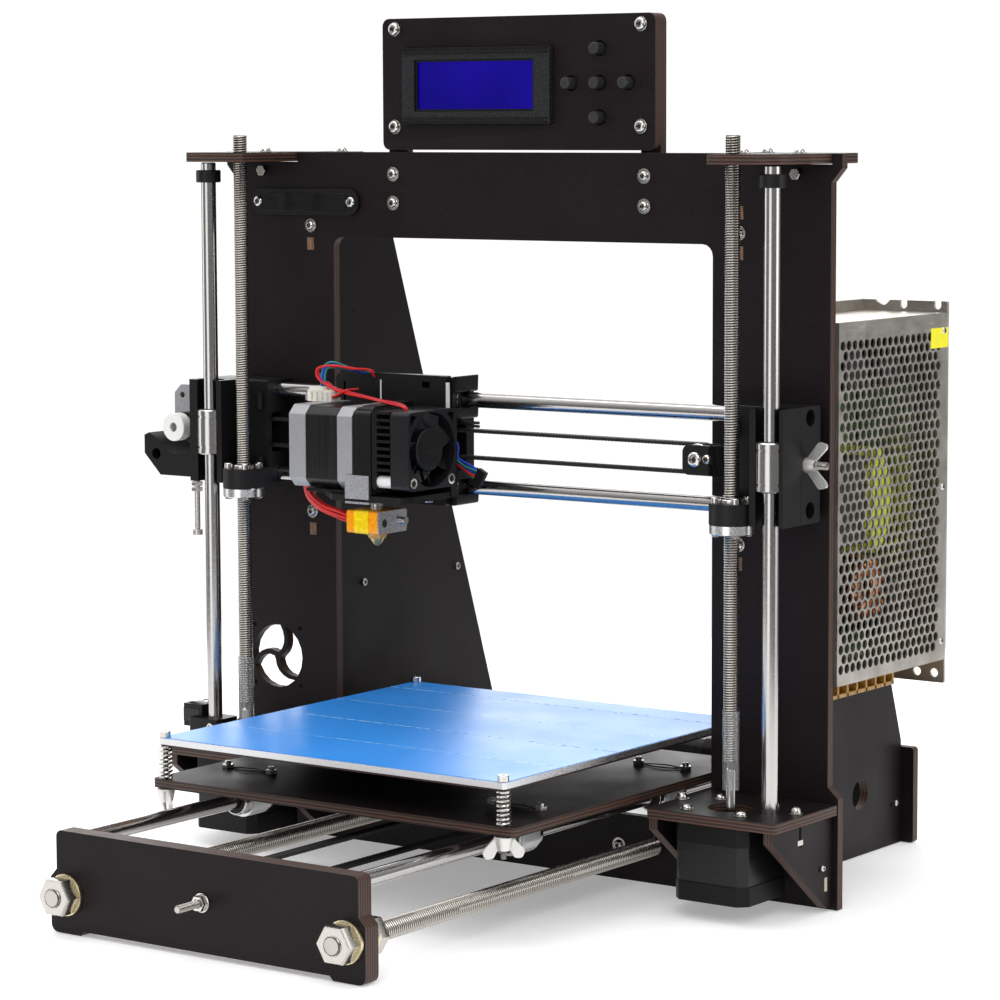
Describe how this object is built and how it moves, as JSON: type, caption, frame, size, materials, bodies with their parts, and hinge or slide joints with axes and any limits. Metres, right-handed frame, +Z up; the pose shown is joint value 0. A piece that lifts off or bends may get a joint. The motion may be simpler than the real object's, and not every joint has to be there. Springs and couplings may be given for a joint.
{
  "type": "fdm printer",
  "caption": "Open-frame filament printer: black plywood upright and base, moving bed, lead-screw X gantry with direct extruder, display on top and power supply at the side.",
  "frame": {"origin": "on the resting surface, under the middle of the printer's bounding box", "axes": "+Z up, +Y from the front of the printer to its rear (the way the bed slides), +X to the right as seen from the front"},
  "size_m": [0.431, 0.4514, 0.4405],
  "materials": {
    "plywood": "black melamine film, brown laser-cut edges",
    "zinc_steel": "zinc-plated, threaded",
    "ground_steel": "ground and hardened",
    "motor": "black laminations between grey cast caps",
    "aluminium_wheel": "turned",
    "black_plastic": "moulded",
    "belt": "toothed",
    "display": "black bezel round a blue screen",
    "button": "moulded cap",
    "galvanised": "galvanised sheet",
    "circuit_board": "lacquered board",
    "white_plastic": "moulded",
    "fan_plastic": "moulded",
    "hot_end": "wrapped in amber polyimide tape",
    "wire": "insulated",
    "blue_tape": "covered in blue crepe tape"
  },
  "bodies": {
    "frame": {"gantry_frame": "plywood", "left_side_panel": "plywood", "right_side_panel": "plywood", "front_plate": "plywood", "rear_plate": "plywood", "left_top_plate": "plywood", "right_top_plate": "plywood", "left_motor_shelf": "plywood", "right_motor_shelf": "plywood", "left_base_rod": "zinc_steel", "right_base_rod": "zinc_steel", "left_y_rod": "ground_steel", "right_y_rod": "ground_steel", "y_motor": "motor", "y_idler_bracket": "black_plastic", "y_belt": "belt", "left_z_motor": "motor", "right_z_motor": "motor", "left_z_rod": "ground_steel", "right_z_rod": "ground_steel", "z_endstop": "black_plastic", "lcd_housing": "plywood", "lcd_module": "display", "psu_chassis": "galvanised", "psu_cover": "galvanised", "controller_board": "circuit_board"},
    "x_gantry": {"left_x_end": "black_plastic", "right_x_end": "black_plastic", "upper_x_rod": "ground_steel", "lower_x_rod": "ground_steel", "x_motor": "motor", "x_belt": "belt"},
    "carriage": {"x_carriage": "black_plastic", "extruder_motor": "motor", "extruder_block": "black_plastic", "cooling_fan": "fan_plastic", "hot_end": "hot_end", "heater_leads": "wire"},
    "bed_slider": {"bed_carriage": "plywood", "front_left_spring": "zinc_steel", "front_right_spring": "zinc_steel", "rear_left_spring": "zinc_steel", "rear_right_spring": "zinc_steel"},
    "bed_plate": {"heated_bed": "blue_tape"},
    "left_lead_screw": {"left_lead_screw": "zinc_steel"},
    "right_lead_screw": {"right_lead_screw": "zinc_steel"},
    "x_pulley": {"x_pulley": "white_plastic"},
    "x_idler": {"x_idler": "aluminium_wheel"},
    "y_pulley": {"y_pulley": "aluminium_wheel"},
    "y_idler": {"y_idler": "aluminium_wheel"},
    "fan_rotor": {"fan_rotor": "fan_plastic"},
    "front_left_wing_nut": {"front_left_wing_nut": "zinc_steel"},
    "front_right_wing_nut": {"front_right_wing_nut": "zinc_steel"},
    "rear_left_wing_nut": {"rear_left_wing_nut": "zinc_steel"},
    "rear_right_wing_nut": {"rear_right_wing_nut": "zinc_steel"},
    "select_button": {"select_button": "button"},
    "left_button": {"left_button": "button"},
    "right_button": {"right_button": "button"},
    "up_button": {"up_button": "button"},
    "down_button": {"down_button": "button"}
  },
  "joints": [
    {"name": "bed_slide", "type": "slide", "parent": "frame", "child": "bed_slider", "axis": [0, 1, 0], "range_m": [-0.1, 0.1]},
    {"name": "y_pulley_turn", "type": "hinge", "parent": "frame", "child": "y_pulley", "pos_m": [0.0185, 0.18325, 0.0315], "axis": [1, 0, 0], "range_deg": [-917.45, 917.45]},
    {"name": "y_idler_turn", "type": "hinge", "parent": "frame", "child": "y_idler", "pos_m": [0.0185, -0.18075, 0.0315], "axis": [1, 0, 0], "range_deg": [-917.45, 917.45]},
    {"name": "z_slide", "type": "slide", "parent": "frame", "child": "x_gantry", "axis": [0, 0, 1], "range_m": [-0.089, 0.1]},
    {"name": "left_lead_screw_turn", "type": "hinge", "parent": "frame", "child": "left_lead_screw", "pos_m": [-0.135, 0.00925, 0], "axis": [0, 0, 1], "range_deg": [-29376, 29376]},
    {"name": "right_lead_screw_turn", "type": "hinge", "parent": "frame", "child": "right_lead_screw", "pos_m": [0.172, 0.00925, 0], "axis": [0, 0, 1], "range_deg": [-29376, 29376]},
    {"name": "carriage_slide", "type": "slide", "parent": "x_gantry", "child": "carriage", "axis": [1, 0, 0], "range_m": [-0.049, 0.138]},
    {"name": "x_pulley_turn", "type": "hinge", "parent": "x_gantry", "child": "x_pulley", "pos_m": [-0.1915, 0.02725, 0.2215], "axis": [0, 1, 0], "range_deg": [-1266.08, 1266.08]},
    {"name": "x_idler_turn", "type": "hinge", "parent": "x_gantry", "child": "x_idler", "pos_m": [0.1435, 0.02725, 0.2215], "axis": [0, 1, 0], "range_deg": [-1266.08, 1266.08]},
    {"name": "fan_turn", "type": "hinge", "parent": "carriage", "child": "fan_rotor", "pos_m": [0.0005, -0.01075, 0.2216], "axis": [1, 0, 0], "continuous": true},
    {"name": "bed_level_slide", "type": "slide", "parent": "bed_slider", "child": "bed_plate", "axis": [0, 0, 1], "range_m": [-0.0015, 0.0015], "deforming": ["front_left_spring", "front_right_spring", "rear_left_spring", "rear_right_spring"]},
    {"name": "front_left_wing_nut_turn", "type": "hinge", "parent": "bed_slider", "child": "front_left_wing_nut", "pos_m": [-0.086, -0.11305, 0.05], "axis": [0, 0, 1], "range_deg": [-1101.6, 1101.6]},
    {"name": "front_right_wing_nut_turn", "type": "hinge", "parent": "bed_slider", "child": "front_right_wing_nut", "pos_m": [0.123, -0.11305, 0.05], "axis": [0, 0, 1], "range_deg": [-1101.6, 1101.6]},
    {"name": "rear_left_wing_nut_turn", "type": "hinge", "parent": "bed_slider", "child": "rear_left_wing_nut", "pos_m": [-0.086, 0.09595, 0.05], "axis": [0, 0, 1], "range_deg": [-1101.6, 1101.6]},
    {"name": "rear_right_wing_nut_turn", "type": "hinge", "parent": "bed_slider", "child": "rear_right_wing_nut", "pos_m": [0.123, 0.09595, 0.05], "axis": [0, 0, 1], "range_deg": [-1101.6, 1101.6]},
    {"name": "select_button_press", "type": "slide", "parent": "frame", "child": "select_button", "axis": [0, 1, 0], "range_m": [0, 0.001], "stiffness_N_per_m": 600},
    {"name": "left_button_press", "type": "slide", "parent": "frame", "child": "left_button", "axis": [0, 1, 0], "range_m": [0, 0.001], "stiffness_N_per_m": 600},
    {"name": "right_button_press", "type": "slide", "parent": "frame", "child": "right_button", "axis": [0, 1, 0], "range_m": [0, 0.001], "stiffness_N_per_m": 600},
    {"name": "up_button_press", "type": "slide", "parent": "frame", "child": "up_button", "axis": [0, 1, 0], "range_m": [0, 0.001], "stiffness_N_per_m": 600},
    {"name": "down_button_press", "type": "slide", "parent": "frame", "child": "down_button", "axis": [0, 1, 0], "range_m": [0, 0.001], "stiffness_N_per_m": 600}
  ],
  "couplings": [
    {"joint": "y_pulley_turn", "follows": "bed_slide", "rad_per_m": -156.99},
    {"joint": "y_idler_turn", "follows": "bed_slide", "rad_per_m": -156.99},
    {"joint": "left_lead_screw_turn", "follows": "z_slide", "rad_per_m": -5026.5},
    {"joint": "right_lead_screw_turn", "follows": "z_slide", "rad_per_m": -5026.5},
    {"joint": "x_pulley_turn", "follows": "carriage_slide", "rad_per_m": 156.99},
    {"joint": "x_idler_turn", "follows": "carriage_slide", "rad_per_m": 156.99},
    {"joint": "front_left_wing_nut_turn", "follows": "bed_level_slide", "rad_per_m": 12566},
    {"joint": "front_right_wing_nut_turn", "follows": "bed_level_slide", "rad_per_m": 12566},
    {"joint": "rear_left_wing_nut_turn", "follows": "bed_level_slide", "rad_per_m": 12566},
    {"joint": "rear_right_wing_nut_turn", "follows": "bed_level_slide", "rad_per_m": 12566}
  ]
}
